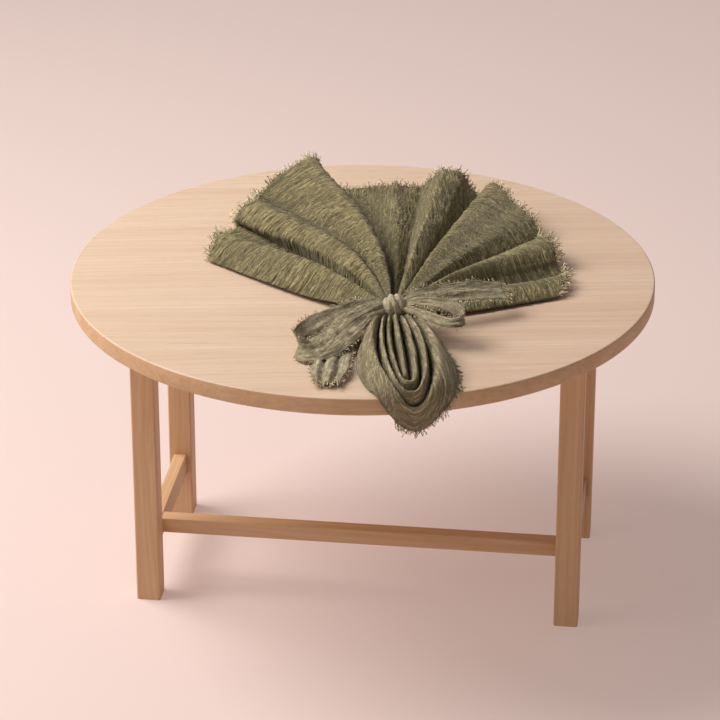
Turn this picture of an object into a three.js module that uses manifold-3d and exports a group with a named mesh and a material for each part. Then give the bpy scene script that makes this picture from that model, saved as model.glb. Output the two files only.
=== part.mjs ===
// A square cotton gauze napkin gathered at its middle and tied with a strip of the same cloth.
// One half opens behind the knot as a pleated fan, the other lies in front of it as a rosette of
// nested folds, which falls over the edge of a plain round oak table.
// Millimetres, +Z up. The model is laid out about the middle of the tabletop's upper surface and
// moved at the end, so that its origin is under the middle of its whole box, on the floor.
import * as THREE from "three";
import { mergeVertices } from "three/addons/utils/BufferGeometryUtils.js";
import Module from "manifold-3d";

const wasm = await Module();
wasm.setup();

// Table sizes
const TOP_RADIUS = 350;
const TOP_THICKNESS = 21;
const TOP_BEVEL = 2;
const TABLE_HEIGHT = 400;
const LEG_SIDE = 29;
const LEG_BEVEL = 1.5;
const FRAME_TURN = THREE.MathUtils.degToRad(-8.4);
const FRAME_CENTRE = new THREE.Vector2(8, 6);
const LEG_HALF_LENGTH = 256;
const LEG_HALF_WIDTH = 114;
const SIDE_RAIL_THICKNESS = 16;
const SIDE_RAIL_HEIGHT = 28;
const LONG_RAIL_DEPTH = 18;
const LONG_RAIL_HEIGHT = 20;
const LONG_RAIL_Y = -66;
const RAIL_TOP = 86;
const RAIL_BEVEL = 1;
const JOINT_GAP = 0.3;

// Cloth sizes
const CLOTH = 1.5;
const PART_GAP = 0.35;
const LOWEST = CLOTH / 2 + PART_GAP;
const SEAM_TOLERANCE = 0.05;
const KNOT = new THREE.Vector3(33.5, -155, 31);
const NECK_HEIGHT = 15;
const NECK_RADII = new THREE.Vector3(15.3, 34.3, 11.2);
const NECK_REACH = 12;
const NECK_WIDTH = 22;
const NECK_TOP = 22;
const NECK_MIDDLE = 14;
const NECK_LOW = 11;
const KNOT_RADII = new THREE.Vector3(13, 11, 11);
const BAND_LENGTH = 15;
const BAND_THICKNESS = 2.4;
const BAND_GAP = 0.6;
const TIE_GAP = 0.45;
const EDGE_ROUND = 5;
const EDGE_CLEARANCE = 5;
const EDGE_RUN_UP = 30;

// Frayed edges
const STRIP_WIDTH = 2.2;
const THREAD_WIDTH = 1.2;
const THREAD_MARGIN = 0.2;
const FRAY_GAP = 0.45;

// Steps of the surfaces: across the fan's rim, along a pleat, and across and round the rosette's rings
const FAN_STEP_WIDTH = 15;
const FAN_STEPS_ALONG = 10;
const FAN_CROWDING = 1.2;
const RING_STEPS_ACROSS = 3;
const RING_STEPS_ROUND = 34;
const RING_CROWDING = 0.5;

const clothColour = new THREE.Color().setRGB(0.5, 0.49, 0.36, THREE.SRGBColorSpace);
const oakColour = new THREE.Color().setRGB(0.83, 0.68, 0.52, THREE.SRGBColorSpace);
const cloth = new THREE.MeshStandardMaterial({ color: clothColour, roughness: 0.95, metalness: 0 });
const oak = new THREE.MeshStandardMaterial({ color: oakColour, roughness: 0.55, metalness: 0 });

// Pleats of the fan from its left border to its right one, in plan about the knot. The angle is in
// degrees from +X, reach and rise give the pleat's outer end, twist turns its inner end, lift is its
// height half way out, and run and climb say how the cloth crosses the pleat, in mm to the right and up.
const PLEATS = named(
  ["angle", "reach", "rise", "twist", "lift", "run", "climb"],
  [
    [139.8, 287, LOWEST, 10, LOWEST, 5, 16],
    [130.5, 308, 22, -8, 31, 36, 0],
    [122.6, 362, 3, -9, 3, 12, 0],
    [119.3, 350, 27, -18, 32, 16, 0],
    [113.5, 402, 15, -15, 26, 20, 2],
    [108.5, 415, 32, -11, 39, 26, 9],
    [103.8, 421, 44, -12, 46, 14, 0],
    [101.6, 423, 37, -13, 40, 0, -26],
    [102.4, 420, 4, -13, 3, 24, -3],
    [93.5, 412, 4, -4, 4, 26, 2],
    [88.5, 402, 15, -2, 16, 18, 0],
    [83.8, 418, 3, 0, 3, 14, 0],
    [79.2, 392, 36, -1, 34, 13, 0],
    [75.2, 402, 25, -3, 22, 10, -12],
    [72.0, 396, 2.5, -2, 2.5, 24, 0],
    [70.2, 358, 31, 0, 30, -1, 24],
    [67.4, 355, 38, 1, 36, 14, 0],
    [57.7, 318, 27, 1, 30, 40, -8],
    [51.0, 296, 4, 5, 6, 12, 0],
    [42.5, 262, 26, 11, 28, 22, 0],
    [37.2, 250, 13, 12, 17, 8, -13],
    [34.0, 248, 3.5, 12, 8, 12, 0],
    [27.0, 226, 12, 9, 15, 22, 0],
    [19.4, 206, LOWEST, -6, LOWEST, 4, -11],
  ],
);

// A pleat whose lift is over this leaves the neck at its top, and pleats reach their lift this far out.
const HIGH_PLEAT = 20;
const LIFTED_AT = 0.45;

// Rings of the rosette from its middle line out to its hem, each a drop-shaped loop that leaves the
// neck on the left and comes back on the right. Half is half its width, length its reach along the
// axis on a flat table, waist draws its sides in near the neck, height and end are its heights at the
// sides and at the far end, neck is half its width at the neck, and run and climb are as above, outwards.
const RINGS = named(
  ["half", "length", "waist", "height", "end", "neck", "run", "climb"],
  [
    [0, 178, 0.5, 29, 23, 0, 5, 0],
    [6.5, 188, 0.5, 14, 12, 2, 3, 0],
    [15, 203, 0.5, 30, 22, 4, 6, 0],
    [20, 198, 0.5, 10, 8, 5.5, 3, 0],
    [25, 212, 0.5, 28, 19, 7, 5, 0],
    [30, 205, 0.5, 6, 6, 8.5, 3, 0],
    [43, 220, 0.45, 25, 12, 10, 17, 0],
    [56, 239, 0.4, LOWEST, EDGE_CLEARANCE, 12, 3, -16],
  ],
);
const ROSETTE_AXIS = THREE.MathUtils.degToRad(273.7);
const RING_FADE = 0.13;
const RING_FULLNESS = 1.12;

// Rows of named numbers, made from a table whose columns have the given names.
function named(names, table) {
  return table.map((row) => Object.fromEntries(names.map((name, i) => [name, row[i]])));
}

const mix = (a, b, t) => a + (b - a) * t;
const smooth = (t) => THREE.MathUtils.smoothstep(t, 0, 1);

// A repeatable source of random numbers from 0 to 1.
function randomFrom(seed) {
  let state = seed;
  return () => {
    state = (Math.imul(state, 1664525) + 1013904223) >>> 0;
    return state / 4294967296;
  };
}

// A curve from a to b that starts along aWay and ends along bWay.
function hermite(a, aWay, b, bWay, t) {
  const t2 = t * t;
  const t3 = t2 * t;
  return new THREE.Vector3()
    .addScaledVector(a, 2 * t3 - 3 * t2 + 1)
    .addScaledVector(aWay, t3 - 2 * t2 + t)
    .addScaledVector(b, 3 * t2 - 2 * t3)
    .addScaledVector(bWay, t3 - t2);
}

// Height along a pleat: from the neck through its lift to its outer end, level in the middle.
function heightAlong(start, middle, end, t) {
  if (t < LIFTED_AT) return mix(start, middle, smooth(t / LIFTED_AT));
  return mix(middle, end, smooth((t - LIFTED_AT) / (1 - LIFTED_AT)));
}

// A point of pleat number index at t from the neck to the rim, with the way the cloth crosses it.
function pleatPoint(index, t) {
  const pleat = PLEATS[index];
  const turned = THREE.MathUtils.degToRad(pleat.angle + pleat.twist * (1 - t) ** 1.5);
  const inner = THREE.MathUtils.degToRad(pleat.angle + pleat.twist);
  const reach = mix(NECK_REACH, pleat.reach, t);
  const across = mix(-NECK_WIDTH / 2, NECK_WIDTH / 2, index / (PLEATS.length - 1));
  const neckHeight = pleat.lift > HIGH_PLEAT ? NECK_TOP : NECK_MIDDLE;
  const pull = (1 - t) ** 4;
  const point = new THREE.Vector3(
    KNOT.x + reach * Math.cos(turned) + pull * (across - NECK_REACH * Math.cos(inner)),
    KNOT.y + reach * Math.sin(turned) + pull * (NECK_REACH - NECK_REACH * Math.sin(inner)),
    heightAlong(neckHeight, pleat.lift, pleat.rise, t),
  );
  const spread = mix(0.12, 1, t);
  const way = new THREE.Vector3(
    Math.sin(turned) * pleat.run * spread,
    -Math.cos(turned) * pleat.run * spread,
    pleat.climb * spread,
  );
  return { point, way };
}

// A point of the fan: across counts pleats from the left border, t goes from the neck to the rim.
function fanPoint(across, t) {
  const index = Math.min(Math.floor(across), PLEATS.length - 2);
  const a = pleatPoint(index, t);
  const b = pleatPoint(index + 1, t);
  const point = hermite(a.point, a.way, b.point, b.way, across - index);
  point.z = Math.max(point.z, LOWEST);
  return point;
}

// Carries a point that lies flat at its height over the table's rim, where the cloth turns down.
function overTheEdge(point) {
  const distance = Math.hypot(point.x, point.y);
  const start = TOP_RADIUS - EDGE_ROUND;
  const lift = EDGE_CLEARANCE * THREE.MathUtils.smoothstep(distance, start - EDGE_RUN_UP, start);
  const height = Math.max(point.z, lift, LOWEST);
  const past = distance - start;
  if (past <= 0) return new THREE.Vector3(point.x, point.y, height);
  const bend = EDGE_ROUND + height;
  const turn = Math.min(past / bend, Math.PI / 2);
  const fall = past - turn * bend;
  const outwards = start + bend * Math.sin(turn);
  return new THREE.Vector3(
    (point.x * outwards) / distance,
    (point.y * outwards) / distance,
    bend * Math.cos(turn) - EDGE_ROUND - fall,
  );
}

// The place of ring number index at part way s round it, flat on the table about the knot.
function ringPlace(ring, s) {
  const round = 2 * Math.PI * s;
  const along = NECK_REACH + ((ring.length - NECK_REACH) * (1 - Math.cos(round))) / 2;
  const drawn = Math.sin(round) * Math.abs(Math.sin(round / 2)) ** ring.waist;
  const side = -RING_FULLNESS * ring.half * drawn - ring.neck * Math.cos(round / 2);
  return new THREE.Vector2(
    KNOT.x + along * Math.cos(ROSETTE_AXIS) - side * Math.sin(ROSETTE_AXIS),
    KNOT.y + along * Math.sin(ROSETTE_AXIS) + side * Math.cos(ROSETTE_AXIS),
  );
}

function ringPoint(index, s) {
  const ring = RINGS[index];
  const place = ringPlace(ring, s);
  const step = 1e-3;
  const tangent = ringPlace(ring, Math.min(s + step, 1)).sub(ringPlace(ring, Math.max(s - step, 0)));
  tangent.normalize();
  const out = new THREE.Vector2(tangent.y, -tangent.x);
  const hand = s < 0.5 ? 1 : -1;
  if (index === 0) out.set(hand * Math.sin(ROSETTE_AXIS), -hand * Math.cos(ROSETTE_AXIS));
  const open = smooth(Math.min(s, 1 - s) / RING_FADE);
  const far = Math.sin(Math.PI * s) ** 6;
  const neckHeight = mix(NECK_TOP, NECK_LOW, index / (RINGS.length - 1));
  const height = mix(neckHeight, mix(ring.height, ring.end, far), open);
  const spread = mix(0.2, 1, open);
  return {
    point: new THREE.Vector3(place.x, place.y, height),
    way: new THREE.Vector3(out.x * ring.run * spread, out.y * ring.run * spread, ring.climb * spread),
  };
}

// A point of the rosette: out counts rings from the middle line, s goes round from left to right.
function rosettePoint(out, s) {
  const index = Math.min(Math.floor(out), RINGS.length - 2);
  const a = ringPoint(index, s);
  const b = ringPoint(index + 1, s);
  return overTheEdge(hermite(a.point, a.way, b.point, b.way, out - index));
}

// How far round the rings column number i lies: the columns crowd at the far end, over the table's edge.
function roundAt(i) {
  const even = i / RING_STEPS_ROUND;
  return even + (RING_CROWDING * Math.sin(2 * Math.PI * even)) / (2 * Math.PI);
}

// The solid of an indexed body, for joining and cutting, and the geometry of a solid.
function solidOf(geometry) {
  const bare = new THREE.BufferGeometry().setAttribute("position", geometry.getAttribute("position"));
  if (geometry.index) bare.setIndex(geometry.index);
  const merged = mergeVertices(bare, 1e-3);
  const mesh = new wasm.Mesh({
    numProp: 3,
    vertProperties: new Float32Array(merged.attributes.position.array),
    triVerts: new Uint32Array(merged.index.array),
  });
  return new wasm.Manifold(mesh);
}

function geometryOf(solid) {
  const mesh = solid.getMesh();
  const geometry = new THREE.BufferGeometry();
  geometry.setAttribute("position", new THREE.BufferAttribute(mesh.vertProperties, 3));
  geometry.setIndex(new THREE.BufferAttribute(mesh.triVerts, 1));
  geometry.computeVertexNormals();
  return geometry;
}

// The largest of a solid's closed shells, without the small hollows that joining leaves shut inside
// and without the slivers along its seams.
function mainShell(solid) {
  const shells = solid.simplify(SEAM_TOLERANCE).decompose();
  return shells.reduce((a, b) => (b.volume() > a.volume() ? b : a));
}

// A sheet of even thickness about the surface that pointAt(i, j) gives on a grid: its closed body, and
// the points of its upper and lower faces.
function makeSheet(columns, rows, pointAt, thickness) {
  const places = [];
  const placeOf = new Map();
  const grid = [];
  for (let i = 0; i <= columns; i += 1) {
    grid.push([]);
    for (let j = 0; j <= rows; j += 1) {
      const point = pointAt(i, j);
      const key = point.toArray().map((value) => value.toFixed(3)).join(" ");
      if (!placeOf.has(key)) placeOf.set(key, places.push(point) - 1);
      grid[i].push(placeOf.get(key));
    }
  }
  const index = [];
  const addFace = (a, b, c) => {
    if (a !== b && b !== c && c !== a) index.push(a, b, c);
  };
  for (let i = 0; i < columns; i += 1) {
    for (let j = 0; j < rows; j += 1) {
      addFace(grid[i][j], grid[i + 1][j], grid[i + 1][j + 1]);
      addFace(grid[i][j], grid[i + 1][j + 1], grid[i][j + 1]);
    }
  }
  const middle = new THREE.BufferGeometry().setFromPoints(places);
  middle.setIndex(index);
  middle.computeVertexNormals();
  const faces = [];
  for (const part of [1, -1]) {
    places.forEach((point, i) => {
      const normal = new THREE.Vector3().fromBufferAttribute(middle.attributes.normal, i);
      faces.push(offTheTable(point.clone().addScaledVector(normal, (part * thickness) / 2)));
    });
  }
  const count = places.length;
  const edges = new Set();
  for (let i = 0; i < index.length; i += 3) {
    for (let k = 0; k < 3; k += 1) edges.add(`${index[i + k]} ${index[i + ((k + 1) % 3)]}`);
  }
  const triangles = [];
  for (let i = 0; i < index.length; i += 3) {
    const [a, b, c] = [index[i], index[i + 1], index[i + 2]];
    triangles.push(a, b, c, count + c, count + b, count + a);
    for (const [from, to] of [[a, b], [b, c], [c, a]]) {
      if (!edges.has(`${to} ${from}`)) triangles.push(from, count + from, count + to, from, count + to, to);
    }
  }
  const body = new THREE.BufferGeometry().setFromPoints(faces);
  body.setIndex(triangles);
  const corner = (i, j) => ({
    upper: faces[grid[i][j]],
    lower: faces[count + grid[i][j]],
    middle: places[grid[i][j]],
  });
  return { body, corner, columns, rows };
}

// Cloth over the tabletop stays a hair above it.
function offTheTable(point) {
  if (Math.hypot(point.x, point.y) < TOP_RADIUS) point.z = Math.max(point.z, PART_GAP);
  return point;
}

// The solid core where all the pleats are drawn together under the tie.
function neckCore(grow) {
  const core = new THREE.SphereGeometry(1, 16, 10);
  core.scale(NECK_RADII.x + grow, NECK_RADII.y + grow, NECK_RADII.z + grow);
  core.translate(KNOT.x, KNOT.y, NECK_HEIGHT);
  return solidOf(core);
}

// Where the fan's columns lie, counted in pleats: more of them where two pleats are far apart.
function fanColumns() {
  const columns = [0];
  for (let i = 0; i < PLEATS.length - 1; i += 1) {
    const width = pleatPoint(i, 1).point.distanceTo(pleatPoint(i + 1, 1).point);
    const steps = THREE.MathUtils.clamp(Math.round(width / FAN_STEP_WIDTH), 2, 4);
    for (let k = 1; k <= steps; k += 1) columns.push(i + k / steps);
  }
  return columns;
}

// Lengths of the tie, each a strip with a path in mm from the knot, half its width, its lean about
// the path in degrees from lying flat, and how deep its lengthwise folds are.
const LEFT_LOOP = named(
  ["x", "y", "z", "half", "lean", "fold"],
  [
    [-4, -1, 32, 6, -40, 1],
    [-28, -8, 33, 10, -45, 3],
    [-58, -22, 31, 12, -48, 4],
    [-88, -44, 26, 13, -55, 3],
    [-108, -68, 19, 12, -75, 2],
    [-112, -88, 15, 11, -105, 1],
    [-101, -102, 12, 11, -140, 1],
    [-80, -92, 14, 12, -155, 3],
    [-57, -62, 25, 10, -145, 3],
    [-30, -26, 32, 7, -130, 2],
    [-4, -4, 31, 5, -120, 1],
  ],
);
const RIGHT_LOOP = named(
  ["x", "y", "z", "half", "lean", "fold"],
  [
    [4, -3, 31, 5, 20, 1],
    [28, -17, 39, 8, 25, 2],
    [55, -36, 42, 8, 30, 2],
    [73, -49, 39, 7, 70, 1.5],
    [76, -57, 35, 6, 100, 1],
    [65, -58, 33, 7, 145, 1.5],
    [42, -41, 34, 7, 158, 1.5],
    [18, -18, 34, 5, 162, 1.5],
    [3, -4, 31, 4, 160, 1],
  ],
);
const LEFT_TAIL = named(
  ["x", "y", "z", "half", "lean", "fold"],
  [
    [-3, -4, 24, 5, 10, 1],
    [-30, -12, 18, 7, 8, 2],
    [-60, -46, 4, 11, 4, 2],
    [-76, -92, 4, 19, 0, 3],
    [-82, -132, 4, 23, 0, 3],
    [-83, -160, 4, 22, 0, 3],
  ],
);
const RIGHT_TAIL = named(
  ["x", "y", "z", "half", "lean", "fold"],
  [
    [4, 0, 32, 6, 30, 1],
    [30, 8, 37, 10, 34, 1.5],
    [64, 20, 37, 11, 36, 2],
    [98, 34, 34, 12, 34, 2],
    [126, 48, 30, 12, 30, 1.5],
  ],
);

// The strip's surface: t from its start to its end, side from -1 to 1 across it.
function stripPoint(rows, t, side) {
  const path = new THREE.CatmullRomCurve3(rows.map((row) => new THREE.Vector3(row.x, row.y, row.z)));
  const place = t * (rows.length - 1);
  const index = Math.min(Math.floor(place), rows.length - 2);
  const part = place - index;
  const at = (name) => mix(rows[index][name], rows[index + 1][name], smooth(part));
  const centre = path.getPoint(t);
  const along = path.getTangent(t);
  const flat = new THREE.Vector3(along.y, -along.x, 0).normalize();
  const across = flat.applyAxisAngle(along, THREE.MathUtils.degToRad(at("lean")));
  const normal = new THREE.Vector3().crossVectors(across, along);
  const folds = Math.cos(side * Math.PI * 2) - 1;
  return new THREE.Vector3(KNOT.x, KNOT.y, 0)
    .add(centre)
    .addScaledVector(across, side * at("half"))
    .addScaledVector(normal, (folds * at("fold")) / 2);
}

function stripSheet(rows, stepsAlong, stepsAcross) {
  return makeSheet(
    stepsAlong,
    stepsAcross,
    (i, j) => stripPoint(rows, i / stepsAlong, (2 * j) / stepsAcross - 1),
    CLOTH,
  );
}

const table = new THREE.Group();
const linen = new THREE.Group();
const model = new THREE.Group();
model.add(table, linen);

function addPiece(group, name, geometry, material) {
  const piece = new THREE.Mesh(geometry, material);
  piece.name = name;
  group.add(piece);
  return piece;
}

// A box with its long edges eased, made along Z from its lower end.
function easedBar(width, depth, height, bevel) {
  const w = width / 2 - bevel;
  const d = depth / 2 - bevel;
  const outline = new THREE.Shape();
  outline.moveTo(-w - bevel, -d);
  outline.lineTo(-w, -d - bevel);
  outline.lineTo(w, -d - bevel);
  outline.lineTo(w + bevel, -d);
  outline.lineTo(w + bevel, d);
  outline.lineTo(w, d + bevel);
  outline.lineTo(-w, d + bevel);
  outline.lineTo(-w - bevel, d);
  outline.closePath();
  return new THREE.ExtrudeGeometry(outline, { depth: height, bevelEnabled: false });
}

// The round top: a disc with a small bevel on both rims.
const topProfile = [
  new THREE.Vector2(0, -TOP_THICKNESS),
  new THREE.Vector2(TOP_RADIUS - TOP_BEVEL, -TOP_THICKNESS),
  new THREE.Vector2(TOP_RADIUS, TOP_BEVEL - TOP_THICKNESS),
  new THREE.Vector2(TOP_RADIUS, -TOP_BEVEL),
  new THREE.Vector2(TOP_RADIUS - TOP_BEVEL, 0),
  new THREE.Vector2(0, 0),
];
const top = addPiece(table, "tabletop", new THREE.LatheGeometry(topProfile, 72), oak);
top.rotation.x = Math.PI / 2;

// Legs and rails stand in a frame of their own, turned a little against the cloth.
const frame = new THREE.Group();
frame.position.set(FRAME_CENTRE.x, FRAME_CENTRE.y, -TABLE_HEIGHT);
frame.rotation.z = FRAME_TURN;
table.add(frame);
const legLength = TABLE_HEIGHT - TOP_THICKNESS - JOINT_GAP;
const sides = [["left", -1], ["right", 1]];
const ends = [["front", -1], ["back", 1]];
for (const [sideName, side] of sides) {
  for (const [endName, end] of ends) {
    const bar = easedBar(LEG_SIDE, LEG_SIDE, legLength, LEG_BEVEL);
    const leg = addPiece(frame, `leg_${endName}_${sideName}`, bar, oak);
    leg.position.set(side * LEG_HALF_LENGTH, end * LEG_HALF_WIDTH, 0);
  }
  const railLength = 2 * LEG_HALF_WIDTH - LEG_SIDE - 2 * JOINT_GAP;
  const sideBar = easedBar(SIDE_RAIL_THICKNESS, SIDE_RAIL_HEIGHT, railLength, RAIL_BEVEL);
  const rail = addPiece(frame, `side_rail_${sideName}`, sideBar, oak);
  rail.rotation.x = Math.PI / 2;
  rail.position.set(side * LEG_HALF_LENGTH, railLength / 2, RAIL_TOP - SIDE_RAIL_HEIGHT / 2);
}
const longLength = 2 * LEG_HALF_LENGTH - SIDE_RAIL_THICKNESS - 2 * JOINT_GAP;
const longBar = easedBar(LONG_RAIL_HEIGHT, LONG_RAIL_DEPTH, longLength, RAIL_BEVEL);
const longRail = addPiece(frame, "long_rail", longBar, oak);
longRail.rotation.y = Math.PI / 2;
longRail.position.set(-longLength / 2, LONG_RAIL_Y, RAIL_TOP - LONG_RAIL_HEIGHT / 2);

// The napkin is one piece of cloth: fan, drawn-in neck and rosette.
const acrossAt = fanColumns();
const fan = makeSheet(
  acrossAt.length - 1,
  FAN_STEPS_ALONG,
  (i, j) => fanPoint(acrossAt[i], (j / FAN_STEPS_ALONG) ** FAN_CROWDING),
  CLOTH,
);
const rosette = makeSheet(
  RING_STEPS_ROUND,
  (RINGS.length - 1) * RING_STEPS_ACROSS,
  (i, j) => rosettePoint(j / RING_STEPS_ACROSS, roundAt(i)),
  CLOTH,
);
const napkin = neckCore(0).add(solidOf(fan.body)).add(solidOf(rosette.body));
addPiece(linen, "napkin", geometryOf(mainShell(napkin)), cloth);

// The tie: a band round the neck, the knot on top of it, two loops and two tails.
function ellipse(path, width, height) {
  path.absellipse(0, 0, width, height, 0, 2 * Math.PI, false, 0);
  return path;
}
function bandBody() {
  const width = NECK_RADII.x + BAND_GAP;
  const height = NECK_RADII.z + BAND_GAP;
  const outer = ellipse(new THREE.Shape(), width + BAND_THICKNESS, height + BAND_THICKNESS);
  outer.holes.push(ellipse(new THREE.Path(), width, height));
  const cut = { depth: BAND_LENGTH, bevelEnabled: false, curveSegments: 12 };
  const band = new THREE.ExtrudeGeometry(outer, cut);
  band.translate(0, 0, -BAND_LENGTH / 2);
  band.rotateX(Math.PI / 2);
  band.translate(KNOT.x, KNOT.y, NECK_HEIGHT);
  return band;
}
const ball = new THREE.SphereGeometry(1, 16, 10);
ball.scale(KNOT_RADII.x, KNOT_RADII.y, KNOT_RADII.z);
ball.translate(KNOT.x, KNOT.y, KNOT.z);
const strips = {
  loop_left: stripSheet(LEFT_LOOP, 18, 4),
  loop_right: stripSheet(RIGHT_LOOP, 16, 4),
  tail_left: stripSheet(LEFT_TAIL, 8, 8),
  tail_right: stripSheet(RIGHT_TAIL, 7, 4),
};
let tie = solidOf(bandBody()).add(solidOf(ball));
for (const strip of Object.values(strips)) tie = tie.add(solidOf(strip.body));
tie = tie.subtract(neckCore(TIE_GAP));
addPiece(linen, "tie", geometryOf(mainShell(tie)), cloth);

// A frayed edge is a narrow strip parted from the cloth's edge, with loose threads growing out of it.

// The stations of an edge: its upper and lower corners and the way out of the cloth, from the corners
// along the edge and the next ones inside it.
function edgeStations(corners, inner) {
  const stations = corners.map((corner, i) => {
    const before = corners[Math.max(i - 1, 0)].middle;
    const after = corners[Math.min(i + 1, corners.length - 1)].middle;
    const along = after.clone().sub(before).normalize();
    const out = corner.middle.clone().sub(inner[i].middle);
    out.addScaledVector(along, -out.dot(along)).normalize();
    return { upper: corner.upper, lower: corner.lower, middle: corner.middle, out };
  });
  const [first, second] = stations;
  const along = second.middle.clone().sub(first.middle);
  const up = first.upper.clone().sub(first.lower);
  return along.cross(first.out).dot(up) > 0 ? stations.reverse() : stations;
}

function stationAt(stations, lengths, length) {
  let i = 0;
  while (i < stations.length - 2 && lengths[i + 1] < length) i += 1;
  const part = (length - lengths[i]) / (lengths[i + 1] - lengths[i]);
  const between = (name) => stations[i][name].clone().lerp(stations[i + 1][name], part);
  return { upper: between("upper"), lower: between("lower"), out: between("out").normalize() };
}

function frayedEdge({ stations, threads, shortest, longest }, seed) {
  const random = randomFrom(seed);
  const lengths = [0];
  for (let i = 1; i < stations.length; i += 1) {
    lengths.push(lengths[i - 1] + stations[i].middle.distanceTo(stations[i - 1].middle));
  }
  const total = lengths[lengths.length - 1];
  const roots = [];
  for (let i = 0; i < threads; i += 1) {
    const middle = ((i + 0.5 + 0.4 * (random() - 0.5)) * total) / threads;
    roots.push([middle - THREAD_WIDTH / 2, middle + THREAD_WIDTH / 2]);
  }
  const isClear = (length, [from, to]) => length < from - THREAD_MARGIN || length > to + THREAD_MARGIN;
  const clear = (length) => roots.every((root) => isClear(length, root));
  const cuts = [...lengths.filter(clear), ...roots.flat()].sort((a, b) => a - b);
  const points = [];
  const faces = [];
  const quad = (a, b, c, d) => faces.push(a, b, c, a, c, d);
  for (const cut of cuts) {
    const { upper, lower, out } = stationAt(stations, lengths, cut);
    for (const reach of [FRAY_GAP, FRAY_GAP + STRIP_WIDTH]) {
      points.push(offTheTable(upper.clone().addScaledVector(out, reach)));
      points.push(offTheTable(lower.clone().addScaledVector(out, reach)));
    }
  }
  for (let i = 0; i < cuts.length - 1; i += 1) {
    const a = i * 4;
    const b = a + 4;
    quad(a, a + 2, b + 2, b);
    quad(a + 1, b + 1, b + 3, a + 3);
    quad(a, b, b + 1, a + 1);
    if (!roots.some(([from]) => from === cuts[i])) {
      quad(a + 2, a + 3, b + 3, b + 2);
      continue;
    }
    const tip = threadTip(points.slice(a, a + 8), mix(shortest, longest, random()), random);
    const apex = points.push(tip) - 1;
    faces.push(a + 2, a + 3, apex, a + 3, b + 3, apex, b + 3, b + 2, apex, b + 2, a + 2, apex);
  }
  const last = (cuts.length - 1) * 4;
  quad(0, 1, 3, 2);
  quad(last, last + 2, last + 3, last + 1);
  const body = new THREE.BufferGeometry().setFromPoints(points);
  body.setIndex(faces);
  return body;
}

// The free end of a thread whose root has the given corners. It rests level on the tabletop.
function threadTip(corners, length, random) {
  const root = corners[2].clone().add(corners[3]).add(corners[6]).add(corners[7]).multiplyScalar(0.25);
  const inner = corners[0].clone().add(corners[1]).add(corners[4]).add(corners[5]).multiplyScalar(0.25);
  const way = root.clone().sub(inner).normalize();
  way.applyAxisAngle(new THREE.Vector3(0, 0, 1), mix(-0.5, 0.5, random()));
  const tip = root.clone().addScaledVector(way, length);
  tip.z -= length * mix(0, 0.25, random());
  const distance = Math.hypot(tip.x, tip.y);
  if (root.z > 0 && distance < TOP_RADIUS + 1) tip.z = Math.max(tip.z, Math.min(root.z, LOWEST));
  const outside = TOP_RADIUS + EDGE_CLEARANCE / 2;
  if (root.z <= 0 && distance < outside) {
    tip.x *= outside / distance;
    tip.y *= outside / distance;
  }
  return tip;
}

// Stations along the fan's rim between two pleats, the rosette's hem between two places round it,
// and the free end of a tail.
function fanRim(from, to) {
  const columns = acrossAt.map((across, i) => i).filter((i) => acrossAt[i] >= from && acrossAt[i] <= to);
  return edgeStations(
    columns.map((i) => fan.corner(i, FAN_STEPS_ALONG)),
    columns.map((i) => fan.corner(i, FAN_STEPS_ALONG - 1)),
  );
}
function rosetteHem(from, to) {
  const all = Array.from({ length: RING_STEPS_ROUND + 1 }, (unused, i) => i);
  const columns = all.filter((i) => roundAt(i) >= from && roundAt(i) <= to);
  return edgeStations(
    columns.map((i) => rosette.corner(i, rosette.rows)),
    columns.map((i) => rosette.corner(i, rosette.rows - 1)),
  );
}
function stripEnd(strip) {
  const places = Array.from({ length: strip.rows + 1 }, (unused, j) => j);
  return edgeStations(
    places.map((j) => strip.corner(strip.columns, j)),
    places.map((j) => strip.corner(strip.columns - 1, j)),
  );
}

const frays = named(
  ["name", "stations", "threads", "shortest", "longest"],
  [
    ["fringe_fan_left", fanRim(0.2, 2.9), 38, 9, 14],
    ["fringe_fan_upper", fanRim(3.1, 6.4), 36, 9, 14],
    ["fringe_fan_back", fanRim(8.9, 13.9), 40, 7, 12],
    ["fringe_fan_right", fanRim(15.4, 17.9), 30, 8, 13],
    ["fringe_fan_low", fanRim(18.1, 22.7), 32, 8, 13],
    ["fringe_rosette", rosetteHem(0.44, 0.82), 32, 7, 12],
    ["fringe_tail_left", stripEnd(strips.tail_left), 12, 6, 10],
    ["fringe_tail_right", stripEnd(strips.tail_right), 7, 5, 9],
  ],
);
frays.forEach((fray, i) => {
  addPiece(linen, fray.name, frayedEdge(fray, 100 + i), cloth);
});

// The whole box's lowest middle point becomes the origin.
const whole = new THREE.Box3().setFromObject(model, true);
const middle = whole.getCenter(new THREE.Vector3());
model.position.set(-middle.x, -middle.y, -whole.min.z);

export default model;
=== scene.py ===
# A cotton gauze napkin, gathered and tied round its neck with a torn strip of the same cloth.
# It lies on a plain round oak table: a pleated fan behind the knot, and in front of it a rosette of
# nested folds that falls over the table's edge.
import math

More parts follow.
